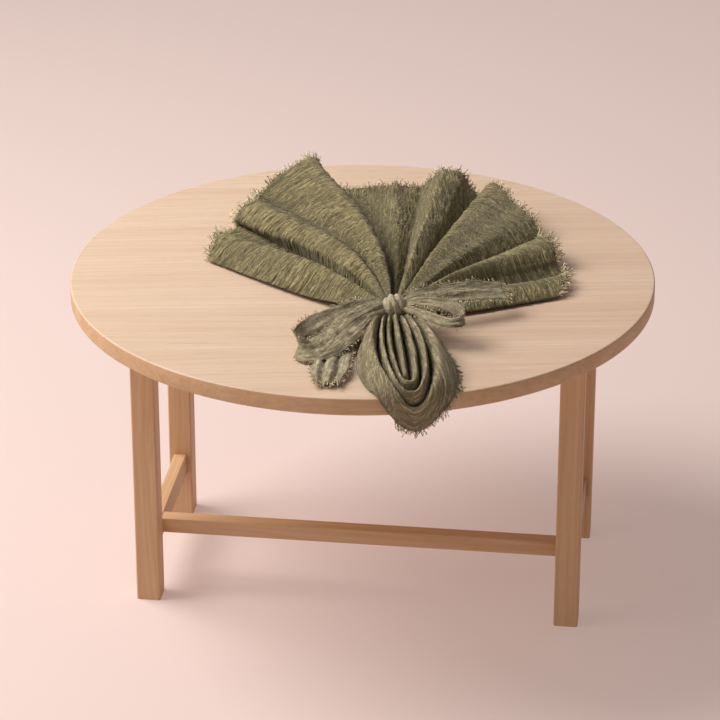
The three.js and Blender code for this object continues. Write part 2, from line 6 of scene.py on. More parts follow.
import bpy
import numpy as np
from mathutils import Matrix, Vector


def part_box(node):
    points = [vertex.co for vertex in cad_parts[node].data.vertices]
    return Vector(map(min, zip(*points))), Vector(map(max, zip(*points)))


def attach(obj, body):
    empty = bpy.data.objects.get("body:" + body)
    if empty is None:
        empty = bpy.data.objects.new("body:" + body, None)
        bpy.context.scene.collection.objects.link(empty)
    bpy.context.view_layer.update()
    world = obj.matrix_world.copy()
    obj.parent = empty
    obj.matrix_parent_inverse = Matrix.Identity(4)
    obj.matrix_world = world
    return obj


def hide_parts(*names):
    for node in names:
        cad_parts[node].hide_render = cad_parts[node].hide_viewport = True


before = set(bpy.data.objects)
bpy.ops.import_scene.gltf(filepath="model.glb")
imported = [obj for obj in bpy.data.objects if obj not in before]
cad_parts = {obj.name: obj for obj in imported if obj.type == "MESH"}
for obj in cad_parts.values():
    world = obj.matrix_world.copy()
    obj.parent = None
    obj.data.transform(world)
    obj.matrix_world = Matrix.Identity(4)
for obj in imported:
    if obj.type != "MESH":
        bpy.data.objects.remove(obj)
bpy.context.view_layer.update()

# The studio: a plain pale floor, a pale sky and two soft window lights from the left, seen with a
# long lens as in the photograph. The camera stands in front of the table, 3.8 m from its top.
top_low, top_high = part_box("tabletop")
TOP_CENTRE = Vector(((top_low.x + top_high.x) / 2, (top_low.y + top_high.y) / 2, top_high.z))
TOP_RADIUS = (top_high.x - top_low.x) / 2
CAMERA_OFFSET = Vector((-0.0629, -3.5222, 1.5335))
CAMERA_PITCH = 0.438
CAMERA_YAW = 0.017


def linear(red, green, blue):
    """The linear colour of an sRGB one that is given from 0 to 255."""
    parts = [c / 255 for c in (red, green, blue)]
    return tuple(c / 12.92 if c < 0.04045 else ((c + 0.055) / 1.055) ** 2.4 for c in parts) + (1.0,)


def add_object(name, data):
    made = bpy.data.objects.new(name, data)
    bpy.context.scene.collection.objects.link(made)
    return made


camera_data = bpy.data.cameras.new("camera")
camera_data.lens = 160
camera_data.sensor_width = 36
camera_data.clip_end = 60
camera = add_object("camera", camera_data)
camera.location = TOP_CENTRE + CAMERA_OFFSET
camera.rotation_euler = (math.pi / 2 - CAMERA_PITCH, 0, -CAMERA_YAW)
bpy.context.scene.camera = camera
bpy.context.scene.view_settings.view_transform = "Standard"

world = bpy.data.worlds.new("pale_room")
bpy.context.scene.world = world
world.use_nodes = True
world.node_tree.nodes["Background"].inputs["Color"].default_value = linear(236, 228, 226)
world.node_tree.nodes["Background"].inputs["Strength"].default_value = 0.31


def add_light(name, place, aim, size, power, colour):
    data = bpy.data.lights.new(name, "AREA")
    data.shape = "DISK"
    data.size = size
    data.energy = power
    data.color = colour
    lamp = add_object(name, data)
    lamp.location = TOP_CENTRE + Vector(place)
    lamp.rotation_euler = (Vector(place) - Vector(aim)).to_track_quat("Z", "Y").to_euler()


add_light("window", (-1.8, 0.45, 2.3), (0, 0, 0), 2.0, 96, (1.0, 0.97, 0.94))
add_light("low_window", (-2.8, -0.6, 1.5), (0, 0, 0), 2.4, 28, (1.0, 0.96, 0.92))

floor_mesh = bpy.data.meshes.new("floor")
FLOOR_HALF = 30
floor_corners = [(x * FLOOR_HALF, y * FLOOR_HALF, 0) for x, y in ((-1, -1), (1, -1), (1, 1), (-1, 1))]
floor_mesh.from_pydata(floor_corners, [], [(0, 1, 2, 3)])
floor = add_object("floor", floor_mesh)
floor_paint = bpy.data.materials.new("floor_paint")
floor_paint.use_nodes = True
floor_paint.node_tree.nodes["Principled BSDF"].inputs["Base Color"].default_value = linear(196, 178, 172)
floor_paint.node_tree.nodes["Principled BSDF"].inputs["Roughness"].default_value = 0.9
floor_paint.node_tree.nodes["Principled BSDF"].inputs["Emission Color"].default_value = linear(233, 208, 200)
floor_paint.node_tree.nodes["Principled BSDF"].inputs["Emission Strength"].default_value = 0.34
floor_mesh.materials.append(floor_paint)


# Oak: the grain runs along one axis of the board as long streaks, with short open pores and a slow
# change of tone, under a thin satin oil. The same grain is used on the top, the legs and the rails.
class Nodes:
    """A node tree that is written as expressions: every call adds one node and returns its output."""

    def __init__(self, tree):
        self.tree = tree

    def add(self, kind, output=0, settings=(), **inputs):
        node = self.tree.nodes.new(kind)
        for name, value in dict(settings).items():
            setattr(node, name, value)
        for name, value in inputs.items():
            key = int(name[1:]) if name[0] == "_" else name.replace("_", " ")
            if isinstance(value, bpy.types.NodeSocket):
                self.tree.links.new(value, node.inputs[key])
            else:
                node.inputs[key].default_value = value
        return node.outputs[output]

    def math(self, operation, first, second=0.0, third=0.0):
        settings = {"operation": operation}
        return self.add("ShaderNodeMath", settings=settings, _0=first, _1=second, _2=third)

    def scaled(self, vector, scale):
        settings = {"operation": "MULTIPLY"}
        return self.add("ShaderNodeVectorMath", settings=settings, _0=vector, _1=scale)

    def noise(self, vector, scale=1.0, detail=2.0, roughness=0.5, output="Fac"):
        sizes = {"Scale": scale, "Detail": detail, "Roughness": roughness}
        return self.add("ShaderNodeTexNoise", output, Vector=vector, **sizes)

    def ramp(self, value, low, high, out_low=0.0, out_high=1.0):
        return self.add("ShaderNodeMapRange", _0=value, _1=low, _2=high, _3=out_low, _4=out_high)

    def blend(self, amount, first, second, kind="MIX"):
        settings = {"data_type": "RGBA", "blend_type": kind}
        return self.add("ShaderNodeMix", 2, settings, _0=amount, _6=first, _7=second)


def new_group(name, inputs, outputs):
    """A shader node group with those sockets: its nodes, its input sockets by name, and its output node."""
    group = bpy.data.node_groups.new(name, "ShaderNodeTree")
    for socket, kind in inputs:
        group.interface.new_socket(socket, in_out="INPUT", socket_type=kind)
    for socket, kind in outputs:
        group.interface.new_socket(socket, in_out="OUTPUT", socket_type=kind)
    entry = group.nodes.new("NodeGroupInput")
    return group, Nodes(group), entry.outputs, group.nodes.new("NodeGroupOutput")


oak_group, oak, given, result = new_group(
    "oak_grain",
    [("Place", "NodeSocketVector"), ("Pale", "NodeSocketColor"), ("Deep", "NodeSocketColor")],
    [("Colour", "NodeSocketColor"), ("Roughness", "NodeSocketFloat"), ("Height", "NodeSocketFloat")],
)
wander = oak.noise(oak.scaled(given["Place"], (1.3, 5.0, 5.0)), 1.0, 2.0, output="Color")
centred = oak.add("ShaderNodeVectorMath", settings={"operation": "SUBTRACT"}, _0=wander, _1=(0.5, 0.5, 0.5))
drift = oak.scaled(centred, (0, 0.05, 0.05))
bent = oak.add("ShaderNodeVectorMath", settings={"operation": "ADD"}, _0=given["Place"], _1=drift)
streak = oak.noise(oak.scaled(bent, (3.5, 210.0, 210.0)), 1.0, 4.0, 0.6)
ring = oak.noise(oak.scaled(bent, (0.9, 34.0, 34.0)), 1.0, 2.0, 0.5)
pore = oak.noise(oak.scaled(bent, (45.0, 900.0, 900.0)), 1.0, 2.0, 0.5)
pore_mask = oak.ramp(pore, 0.62, 0.72)
tone = oak.math("ADD", oak.math("MULTIPLY", streak, 0.6), oak.math("MULTIPLY", ring, 0.4))
PORE_OAK = linear(170, 130, 98)
grained = oak.blend(oak.ramp(tone, 0.36, 0.64), given["Pale"], given["Deep"])
pored = oak.blend(oak.math("MULTIPLY", pore_mask, 0.3), grained, PORE_OAK)
oak.tree.links.new(pored, result.inputs["Colour"])
oak.tree.links.new(oak.ramp(tone, 0.3, 0.7, 0.5, 0.62), result.inputs["Roughness"])
oak.tree.links.new(oak.math("MULTIPLY", pore_mask, -1.0), result.inputs["Height"])


def oak_material(name, turn, pale=linear(214, 176, 136), deep=linear(196, 154, 113)):
    """Oak whose grain runs along the X axis after the piece's own places are turned by the given angles."""
    made = bpy.data.materials.new(name)
    made.use_nodes = True
    nodes = Nodes(made.node_tree)
    shader = made.node_tree.nodes["Principled BSDF"]
    place = nodes.add("ShaderNodeTexCoord", "Object")
    turned = nodes.add("ShaderNodeMapping", Vector=place, Rotation=turn)
    settings = {"node_tree": oak_group}
    grain = nodes.add("ShaderNodeGroup", "Colour", settings, Place=turned, Pale=pale, Deep=deep).node
    made.node_tree.links.new(grain.outputs["Colour"], shader.inputs["Base Color"])
    made.node_tree.links.new(grain.outputs["Roughness"], shader.inputs["Roughness"])
    bumped = nodes.add("ShaderNodeBump", Height=grain.outputs["Height"], Distance=0.00012, Strength=0.6)
    made.node_tree.links.new(bumped, shader.inputs["Normal"])
    shader.inputs["Coat Weight"].default_value = 0.08
    shader.inputs["Coat Roughness"].default_value = 0.35
    return made


# The round top: boards glued edge to edge, turned to a disc 21 mm thick, its two rims eased with a
# small round. It is turned anew here so that its rim is smooth, and stands for the faceted disc.
def surface(name, points, faces):
    mesh = bpy.data.meshes.new(name)
    mesh.from_pydata(points, [], faces)
    mesh.polygons.foreach_set("use_smooth", np.full(len(mesh.polygons), True))
    mesh.update()
    return add_object(name, mesh)


def turned_top(sides=240, ease=0.0022, ease_steps=5):
    thickness = top_high.z - top_low.z
    profile = []
    for step in range(ease_steps + 1):
        turn = math.pi / 2 * step / ease_steps
        profile.append((TOP_RADIUS - ease + ease * math.sin(turn), -ease + ease * math.cos(turn)))
    for step in range(ease_steps + 1):
        turn = math.pi / 2 * step / ease_steps
        profile.append((TOP_RADIUS - ease + ease * math.cos(turn), ease - thickness - ease * math.sin(turn)))
    points = []
    for radius, height in profile:
        for side in range(sides):
            angle = 2 * math.pi * side / sides
            points.append(TOP_CENTRE + Vector((radius * math.cos(angle), radius * math.sin(angle), height)))
    faces = []
    for row in range(len(profile) - 1):
        for side in range(sides):
            after = (side + 1) % sides
            upper = row * sides
            lower = upper + sides
            faces.append((upper + side, lower + side, lower + after, upper + after))
    faces.append(tuple(range(sides)))
    last = (len(profile) - 1) * sides
    faces.append(tuple(last + side for side in reversed(range(sides))))
    made = surface("oak_top", points, faces)
    for face in made.data.polygons[-2:]:
        face.use_smooth = False
    return made


oak_top = turned_top()
ALONG_TOP = (0, 0, math.radians(-1.5))
# Painted light: the top's oak is paler than the rim's and the legs', so the upward face looks lit.
top_oak_painted_light = oak_material("oak_of_the_top_painted_light", ALONG_TOP, linear(224, 197, 172), linear(209, 179, 152))
oak_top.data.materials.append(top_oak_painted_light)
oak_top.data.materials.append(oak_material("oak_of_the_rim", ALONG_TOP))
for face in oak_top.data.polygons:
    face.material_index = 0 if face.normal.z > 0.7 else 1
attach(oak_top, "root")
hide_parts("tabletop")


# The underframe: four square legs, two side rails and one long rail, of the same oak, glued. They keep
# their own shapes, and only take the grain along their length.
LEG_TURN = math.radians(-8.4)
leg_oak = oak_material("oak_of_the_legs", (0, math.pi / 2, 0))
long_oak = oak_material("oak_of_the_long_rail", (0, 0, -LEG_TURN))
side_oak = oak_material("oak_of_the_side_rails", (0, 0, -LEG_TURN + math.pi / 2))
for name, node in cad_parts.items():
    finish = leg_oak if name.startswith("leg_") else side_oak if name.startswith("side_rail") else None
    if name == "long_rail":
        finish = long_oak
    if finish:
        for place in node.material_slots:
            place.material = finish


# The cloth: a loose plain-woven cotton gauze, washed so that it crinkles along one set of threads. Its
# pattern follows the flat cloth, whose coordinates in metres each piece keeps in the UV map "flat".
gauze_group, gauze, given, result = new_group(
    "crinkled_gauze",
    [("Flat", "NodeSocketVector"), ("Thread Pitch", "NodeSocketFloat"), ("Crinkle", "NodeSocketFloat")],
    [(socket, "NodeSocketFloat") for socket in ("Tone", "Yarn", "Crease Shade", "Height")],
)
warped = gauze.add(
    "ShaderNodeVectorMath",
    settings={"operation": "MULTIPLY_ADD"},
    _0=gauze.noise(given["Flat"], 28.0, 2.0, output="Color"),
    _1=(0.004, 0.004, 0.0),
    _2=given["Flat"],
)
parts = gauze.add("ShaderNodeSeparateXYZ", Vector=warped).node
along_weft = gauze.math("DIVIDE", parts.outputs["X"], given["Thread Pitch"])
along_warp = gauze.math("DIVIDE", parts.outputs["Y"], given["Thread Pitch"])
weft = gauze.math("ABSOLUTE", gauze.math("SINE", gauze.math("MULTIPLY", along_weft, math.pi)))
warp = gauze.math("ABSOLUTE", gauze.math("SINE", gauze.math("MULTIPLY", along_warp, math.pi)))
woven = gauze.math("MAXIMUM", weft, warp)
crossed = gauze.math("MULTIPLY", weft, warp)
slub_x = gauze.noise(gauze.scaled(warped, (380.0, 110.0, 1.0)), 1.0, 3.0, 0.7)
slub_y = gauze.noise(gauze.scaled(warped, (110.0, 380.0, 1.0)), 1.0, 3.0, 0.7)
slubs = gauze.math("ADD", gauze.ramp(slub_x, 0.3, 0.7), gauze.ramp(slub_y, 0.3, 0.7))
patches = gauze.noise(warped, 22.0, 3.0, 0.55)
yarn = gauze.math("ADD", gauze.math("MULTIPLY", woven, 0.3), gauze.math("MULTIPLY", slubs, 0.4))
gauze.tree.links.new(patches, result.inputs["Tone"])
gauze.tree.links.new(yarn, result.inputs["Yarn"])
creases = gauze.noise(gauze.scaled(warped, (250.0, 34.0, 1.0)), 1.0, 4.0, 0.6)
creased = gauze.math("ABSOLUTE", gauze.math("SUBTRACT", creases, 0.5))
puckers = gauze.noise(gauze.scaled(warped, (230.0, 260.0, 1.0)), 1.0, 2.0, 0.5)
relief = gauze.math("MULTIPLY", creased, gauze.math("MULTIPLY", given["Crinkle"], -0.007))
relief = gauze.math("MULTIPLY_ADD", puckers, gauze.math("MULTIPLY", given["Crinkle"], 0.0016), relief)
relief = gauze.math("MULTIPLY_ADD", crossed, 0.00008, relief)
gauze.tree.links.new(gauze.math("MULTIPLY_ADD", slubs, 0.00012, relief), result.inputs["Height"])
# This mask is 0 on the crinkle's sharp crease lines and 1 elsewhere; the material darkens those lines as
# painted shade.
gauze.tree.links.new(gauze.ramp(creased, 0.0, 0.07), result.inputs["Crease Shade"])


THREAD_PITCH = 0.00095


def gauze_material(name, shade, light, crinkle):
    made = bpy.data.materials.new(name)
    made.use_nodes = True
    nodes = Nodes(made.node_tree)
    shader = made.node_tree.nodes["Principled BSDF"]
    flat = nodes.add("ShaderNodeUVMap", settings={"uv_map": "flat"})
    sizes = {"Thread_Pitch": THREAD_PITCH, "Crinkle": crinkle}
    pattern = nodes.add("ShaderNodeGroup", "Tone", {"node_tree": gauze_group}, Flat=flat, **sizes).node
    tone = nodes.blend(nodes.ramp(pattern.outputs["Tone"], 0.3, 0.7), shade, light)
    dark = tuple(0.5 * c for c in shade[:3]) + (1.0,)
    colour = nodes.blend(nodes.ramp(pattern.outputs["Yarn"], 0.32, 0.68, 0.0, 1.0), dark, tone)
    # Painted light and shade: the colour is darkened down to 0.45 in creases and folds and lightened up to
    # 1.22 on crests, by the attribute read here.
    crest_shade = nodes.add("ShaderNodeAttribute", "Fac", {"attribute_name": "crest_shade"})
    lit = nodes.add("ShaderNodeCombineColor", _0=nodes.ramp(crest_shade, -0.7, 0.6, 0.45, 1.22))
    for channel in ("Green", "Blue"):
        made.node_tree.links.new(nodes.ramp(crest_shade, -0.7, 0.6, 0.45, 1.2), lit.node.inputs[channel])
    colour = nodes.blend(1.0, colour, lit, "MULTIPLY")
    # Painted shade: the crinkle's crease lines are darkened towards 0.4 of the shade colour, less so where
    # the crinkle is weak.
    deep = tuple(0.4 * c for c in shade[:3]) + (1.0,)
    crease_shade_blend = nodes.math("MAXIMUM", pattern.outputs["Crease Shade"], 1.0 - 0.75 * crinkle)
    colour = nodes.blend(crease_shade_blend, deep, colour)
    made.node_tree.links.new(colour, shader.inputs["Base Color"])
    bumped = nodes.add("ShaderNodeBump", Height=pattern.outputs["Height"], Distance=1.0, Strength=1.0)
    made.node_tree.links.new(bumped, shader.inputs["Normal"])
    shader.inputs["Roughness"].default_value = 0.92
    shader.inputs["Specular IOR Level"].default_value = 0.2
    shader.inputs["Sheen Weight"].default_value = 0.12
    shader.inputs["Sheen Roughness"].default_value = 0.5
    return made


gauze_dark = linear(141, 130, 92)
gauze_light = linear(168, 156, 114)
napkin_gauze = gauze_material("napkin_gauze", gauze_dark, gauze_light, 1.0)
# A paler copy of the napkin's gauze: painted light on the rosette.
rosette_gauze_painted_light = gauze_material("rosette_gauze_painted_light", linear(156, 143, 108), linear(178, 165, 130), 0.9)

# Making cloth: a sheet is a grid of points in millimetres about the middle of the tabletop. It is
# creased and crinkled along its normals, then given its thickness as one closed mesh of two faces.
CLOTH = 0.9
LOWEST = 1.1
TABLE_GAP = 0.35
FOLD_HEIGHT = 14
MM = 0.001


def smooth(t):
    t = np.clip(t, 0, 1)
    return t * t * (3 - 2 * t)


def mix(a, b, t):
    return a + (b - a) * t


def lattice(ix, iy, seed):
    h = (ix.astype(np.int64) * 374761393 + iy.astype(np.int64) * 668265263 + seed * 144269504) & 0xFFFFFFFF
    h = ((h ^ (h >> 13)) * 1274126177) & 0xFFFFFFFF
    return ((h ^ (h >> 16)) & 0xFFFF) / 32767.5 - 1


def noise(x, y, seed=0):
    """Smooth noise from -1 to 1 that changes over steps of about 1."""
    ix = np.floor(x)
    iy = np.floor(y)
    u = smooth(x - ix)
    v = smooth(y - iy)
    low = mix(lattice(ix, iy, seed), lattice(ix + 1, iy, seed), u)
    high = mix(lattice(ix, iy + 1, seed), lattice(ix + 1, iy + 1, seed), u)
    return mix(low, high, v)


def normals_of(grid):
    across = np.gradient(grid, axis=0)
    along = np.gradient(grid, axis=1)
    normal = np.cross(across, along)
    length = np.linalg.norm(normal, axis=2, keepdims=True)
    return normal / np.maximum(length, 1e-9)


def crinkle(flat, seed=0):
    """The height of the washed crinkle at places of the cloth: uneven ridges along its second axis."""
    x = flat[..., 0]
    y = flat[..., 1]
    x = x + 5 * noise(x / 45, y / 50, seed + 1) + 1.2 * noise(x / 14, y / 16, seed + 2)
    broad = noise(x / 3.1, y / 34, seed + 3)
    fine = noise(x / 1.9, y / 15, seed + 4)
    dimples = noise(x / 3.4, y / 4.2, seed + 6)
    ridges = 0.55 * (1 - 2.4 * np.abs(broad)) + 0.3 * (1 - 2.4 * np.abs(fine)) + 0.4 * dimples
    patch = 0.8 + 0.45 * noise(x / 50, y / 40, seed + 5)
    return ridges * np.clip(patch, 0.3, 1.3)


def fold_depth(grid, axis, reach):
    """How far each place stands above (1) or below (-1) the folds beside it, within reach steps of the grid
    along one axis. It feeds the painted shade in the folds and the painted light on their crests."""
    height = np.moveaxis(grid[..., 2], axis, 0)
    longer = np.concatenate([height[:1].repeat(reach, 0), height, height[-1:].repeat(reach, 0)])
    total = np.cumsum(np.concatenate([0 * height[:1], longer]), axis=0)
    level = (total[2 * reach + 1 :] - total[: -2 * reach - 1]) / (2 * reach + 1)
    return np.moveaxis(np.clip((height - level) / FOLD_HEIGHT, -1, 1), 0, axis)


def cloth_piece(name, grid, flat, crest_shade, finish):
    """A closed sheet about a grid of points. It keeps the flat cloth's coordinates as its UV map, and how far
    each place stands on a crest (1) or in a crease (-1) as an attribute, which the gauze turns into painted
    shade in the creases and painted light on the crests."""
    columns, rows = grid.shape[:2]
    normal = normals_of(grid)
    faces_up = grid + normal * CLOTH / 2
    faces_down = grid - normal * CLOTH / 2
    points = np.concatenate([faces_up.reshape(-1, 3), faces_down.reshape(-1, 3)])
    over = np.hypot(points[:, 0], points[:, 1]) < TOP_RADIUS / MM
    points[over, 2] = np.maximum(points[over, 2], TABLE_GAP)
    count = columns * rows
    place = np.arange(count).reshape(columns, rows)
    a, b, c, d = (place[:-1, :-1], place[1:, :-1], place[1:, 1:], place[:-1, 1:])
    top = np.stack([a, b, c, d], axis=-1).reshape(-1, 4)
    bottom = top[:, ::-1] + count
    border = np.concatenate([place[:-1, 0], place[-1, :-1], place[:0:-1, -1], place[0, :0:-1]])
    after = np.roll(border, -1)
    rim = np.stack([border, border + count, after + count, after], axis=-1)
    faces = np.concatenate([top, bottom, rim])
    points = points * MM + np.array(TOP_CENTRE)
    made = surface(name, points.tolist(), faces.tolist())
    uv = made.data.uv_layers.new(name="flat")
    corners = np.empty(len(made.data.loops), dtype=np.int32)
    made.data.loops.foreach_get("vertex_index", corners)
    places = flat.reshape(-1, 2)[corners % count] * MM + 1.0
    uv.data.foreach_set("uv", places.astype(np.float32).ravel())
    stands = np.tile(np.clip(crest_shade, -1, 1).reshape(-1), 2).astype(np.float32)
    made.data.attributes.new("crest_shade", "FLOAT", "POINT").data.foreach_set("value", stands)
    made.data.materials.append(finish)
    return made


# The fan, behind the knot: most of the napkin, opened as uneven pleats that run out from the knot.
# Each row is a pleat's crest, flank or valley, from the left border to the right one, in mm about the
# knot. The angle is from +X. Twist turns the inner end, lift is the height half way out, and run and
# climb say how the cloth crosses the pleat, to the right and up.
KNOT = np.array([33.5, -155.0, 31.0])
NECK_REACH = 12
NECK_WIDTH = 22
NECK_TOP = 22
NECK_MIDDLE = 14
NECK_LOW = 11
HIGH_PLEAT = 20
LIFTED_AT = 0.45
PLEAT_COLUMNS = ["angle", "reach", "rise", "twist", "lift", "run", "climb"]
PLEATS = [
    [139.8, 287, 3, 10, 5, 5, 16],
    [131.0, 308, 19, -8, 29, 34, 0],
    [126.8, 330, 2, -9, 2, 6, 0],
    [120.6, 352, 2, -9, 2, 4, 4],
    [122.8, 348, 13, -13, 24, -2, 14],
    [118.0, 350, 31, -18, 38, 30, 0],
    [113.2, 402, 17, -15, 27, 20, 2],
    [108.5, 415, 32, -11, 39, 26, 9],
    [103.8, 421, 46, -12, 49, 14, 0],
    [101.6, 423, 38, -13, 41, 0, -26],
    [103.4, 420, 3, -13, 2, 16, -3],
    [93.5, 412, 4, -4, 4, 26, 2],
    [88.5, 402, 14, -2, 15, 18, 0],
    [83.8, 418, 2, 0, 2, 8, 0],
    [79.2, 392, 40, -1, 38, 15, 0],
    [75.6, 402, 27, -3, 24, 6, -16],
    [72.2, 396, 1.5, -2, 1.5, 12, 0],
    [70.0, 358, 33, 0, 32, -2, 26],
    [67.4, 355, 41, 1, 39, 15, 0],
    [57.7, 318, 28, 1, 31, 40, -8],
    [50.0, 290, 2.5, 5, 3, 4, 4],
    [51.5, 286, 12, 6, 15, -3, 9],
    [42.5, 262, 29, 11, 31, 26, 0],
    [37.6, 250, 12, 12, 16, 6, -13],
    [33.6, 248, 1.5, 12, 3, 6, 0],
    [27.0, 226, 14, 9, 17, 22, 0],
    [19.4, 206, 3, -6, 4, 4, -11],
]


def named(columns, table):
    return dict(zip(columns, np.array(table, dtype=float).T))


pleats = named(PLEAT_COLUMNS, PLEATS)
LAST_PLEAT = len(PLEATS) - 1


def hermite(a, a_way, b, b_way, t):
    t2 = t * t
    t3 = t2 * t
    return a * (2 * t3 - 3 * t2 + 1) + a_way * (t3 - 2 * t2 + t) + b * (3 * t2 - 2 * t3) + b_way * (t3 - t2)


def height_along(start, middle, end, t):
    inner = mix(start, middle, smooth(t / LIFTED_AT))
    outer = mix(middle, end, smooth((t - LIFTED_AT) / (1 - LIFTED_AT)))
    return np.where(t < LIFTED_AT, inner, outer)


def pleat_lines(t):
    """Points of every pleat at the given parts of the way out, and how the cloth crosses it there."""
    row = {name: values[:, None] for name, values in pleats.items()}
    t = t[None, :]
    turned = np.radians(row["angle"] + row["twist"] * (1 - t) ** 1.5)
    inner = np.radians(row["angle"] + row["twist"])
    reach = mix(NECK_REACH, row["reach"], t)
    across = mix(-NECK_WIDTH / 2, NECK_WIDTH / 2, np.arange(LAST_PLEAT + 1) / LAST_PLEAT)[:, None]
    neck_height = np.where(row["lift"] > HIGH_PLEAT, NECK_TOP, NECK_MIDDLE)
    pull = (1 - t) ** 4
    x = KNOT[0] + reach * np.cos(turned) + pull * (across - NECK_REACH * np.cos(inner))
    y = KNOT[1] + reach * np.sin(turned) + pull * (NECK_REACH - NECK_REACH * np.sin(inner))
    z = height_along(neck_height, row["lift"], row["rise"], t)
    spread = mix(0.12, 1, t)
    climb = row["climb"] + 0 * turned
    way = np.stack([np.sin(turned) * row["run"], -np.cos(turned) * row["run"], climb], axis=-1)
    return np.stack([x, y, z], axis=-1), way * spread[..., None]


def fan_points(across, t):
    """The fan's surface: across counts pleats from the left border, t goes from the neck to the rim."""
    points, ways = pleat_lines(t)
    index = np.minimum(across.astype(int), LAST_PLEAT - 1)
    part = (across - index)[:, None, None]
    made = hermite(points[index], ways[index], points[index + 1], ways[index + 1], part)
    made[..., 2] = np.maximum(made[..., 2], LOWEST)
    return made


# Where the fan's columns lie: evenly along its rim, and what share of the rim lies to their left.
trial = np.linspace(0, LAST_PLEAT, 4000)
rim_line = fan_points(trial, np.array([1.0]))[:, 0]
rim_length = np.concatenate([[0], np.cumsum(np.linalg.norm(np.diff(rim_line, axis=0), axis=1))])


def fan_columns(start, end, spacing):
    """Even steps along the rim between two pleats, as pleat counts."""
    first, last = np.interp([start, end], trial, rim_length)
    steps = max(int((last - first) / spacing), 2)
    return np.interp(np.linspace(first, last, steps + 1), rim_length, trial)


def fan_flat(across, t):
    """Places on the flat cloth: half a disc about the knot, with the left border at half a turn."""
    share = np.interp(across, trial, rim_length) / rim_length[-1]
    reach = np.interp(across, np.arange(LAST_PLEAT + 1), pleats["reach"])
    radius = reach[:, None] * t[None, :]
    angle = math.pi * (1 - share)[:, None]
    return np.stack([radius * np.cos(angle), radius * np.sin(angle)], axis=-1)


def fan_relief(grid, flat, t, strength, place):
    """Crinkle, rim ripples and gathers near the neck, laid on the fan along its normals."""
    radius = np.linalg.norm(flat, axis=-1)
    rim = (1 - t)[None, :] * radius.max(axis=1, keepdims=True)
    angle = np.arctan2(flat[..., 1], flat[..., 0])
    crest_shade = crinkle(place) * smooth(radius / 130)
    height = strength * crest_shade
    height += 1.5 * noise(angle * 34, rim / 60, 11) * np.exp(-rim / 30) * smooth(radius / 60)
    height += 0.7 * noise(angle * 16, radius / 70, 12) * np.exp(-radius / 90)
    return grid + normals_of(grid) * height[..., None], crest_shade


CRINKLE_RADIUS = 240
fan_rim = {"across": [], "points": [], "out": []}


def fan_piece(name, start, end, spacing, rows, strength, round_knot=True):
    across = fan_columns(start, end, spacing)
    t = mix(-0.012, 1, np.linspace(0, 1, rows))
    flat = fan_flat(across, t)
    place = flat
    if round_knot:
        turn = np.arctan2(flat[..., 1], flat[..., 0])
        place = np.stack([np.linalg.norm(flat, axis=-1), CRINKLE_RADIUS * turn], axis=-1)
    grid, crest_shade = fan_relief(fan_points(across, t), flat, t, strength, place)
    # Painted shade: the fan's folds are darkened and their crests lightened in the colour.
    crest_shade = crest_shade + 0.7 * fold_depth(grid, 0, 12)
    fan_rim["across"].append(across)
    fan_rim["points"].append(grid[:, -1])
    fan_rim["out"].append(grid[:, -1] - grid[:, -6])
    made = cloth_piece(name, grid, place, crest_shade, napkin_gauze)
    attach(made, "root")
    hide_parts("napkin")
    return made


fan_left = fan_piece("fan_left", 0, 10, 2.9, 330, 2.0)
fan_back = fan_piece("fan_back", 10, 16.3, 1.8, 230, 0.9, round_knot=False)
fan_right = fan_piece("fan_right", 16.3, 26, 2.6, 290, 1.3)
fan_rim = {name: np.concatenate(parts) for name, parts in fan_rim.items()}

# The rosette, in front of the knot: the rest of the napkin, which winds back and forth in drop
# shaped rings, one in another, each leaving the neck on the left and coming back on the right. Its
# hem hangs over the table's edge. Half is half a ring's width, length its reach on a flat table, waist
# draws its sides in, height and end are its heights, and neck is half its width at the neck.
ROSETTE_AXIS = math.radians(272.6)
RING_FADE = 0.13
RING_DRIFT = 0.22
RING_SWAY = 1.6
EDGE_ROUND = 5
EDGE_CLEARANCE = 5
EDGE_RUN_UP = 30
RING_COLUMNS = ["half", "length", "waist", "tip", "height", "end", "neck", "run", "climb"]
RINGS = [
    [0, 170, 0.5, 0.6, 27, 20, 0, 8, 0],
    [5.5, 177, 0.5, 0.6, 3, 3, 2, 3, 0],
    [12, 190, 0.5, 0.62, 25, 19, 4, 9, 0],
    [16.5, 193, 0.5, 0.65, 1.5, 2, 5.5, 2, 0],
    [21, 205, 0.45, 0.7, 28, 19, 7, 7, 0],
    [25, 208, 0.4, 0.75, 1.5, 2, 8.5, 2, 0],
    [33, 219, 0.35, 0.95, 29, 14, 10, 15, 0],
    [51, 237, 0.25, 1.2, LOWEST, EDGE_CLEARANCE, 12, 4, -16],
]
rings = named(RING_COLUMNS, RINGS)
LAST_RING = len(RINGS) - 1


def ring_places(s):
    """Places of all rings at parts of the way round, flat on the table."""
    ring = {name: values[:, None] for name, values in rings.items()}
    turn = 2 * math.pi * s[None, :]
    along = NECK_REACH + (ring["length"] - NECK_REACH) * (1 - np.cos(turn)) / 2
    swing = np.sin(turn / 2)
    width = np.abs(np.sin(turn)) ** mix(1, ring["tip"], swing**4)
    drawn = np.sign(np.sin(turn)) * width * swing ** ring["waist"]
    side = -ring["half"] * drawn - ring["neck"] * np.cos(turn / 2)
    order = np.arange(LAST_RING + 1)[:, None]
    sway = noise(5 * s[None, :] + 3.7 * order, 0.5 * order + 0 * s[None, :], 31)
    side = side + (RING_DRIFT * ring["half"] + RING_SWAY * sway) * swing**2
    x = KNOT[0] + along * math.cos(ROSETTE_AXIS) - side * math.sin(ROSETTE_AXIS)
    y = KNOT[1] + along * math.sin(ROSETTE_AXIS) + side * math.cos(ROSETTE_AXIS)
    return np.stack([x, y], axis=-1)


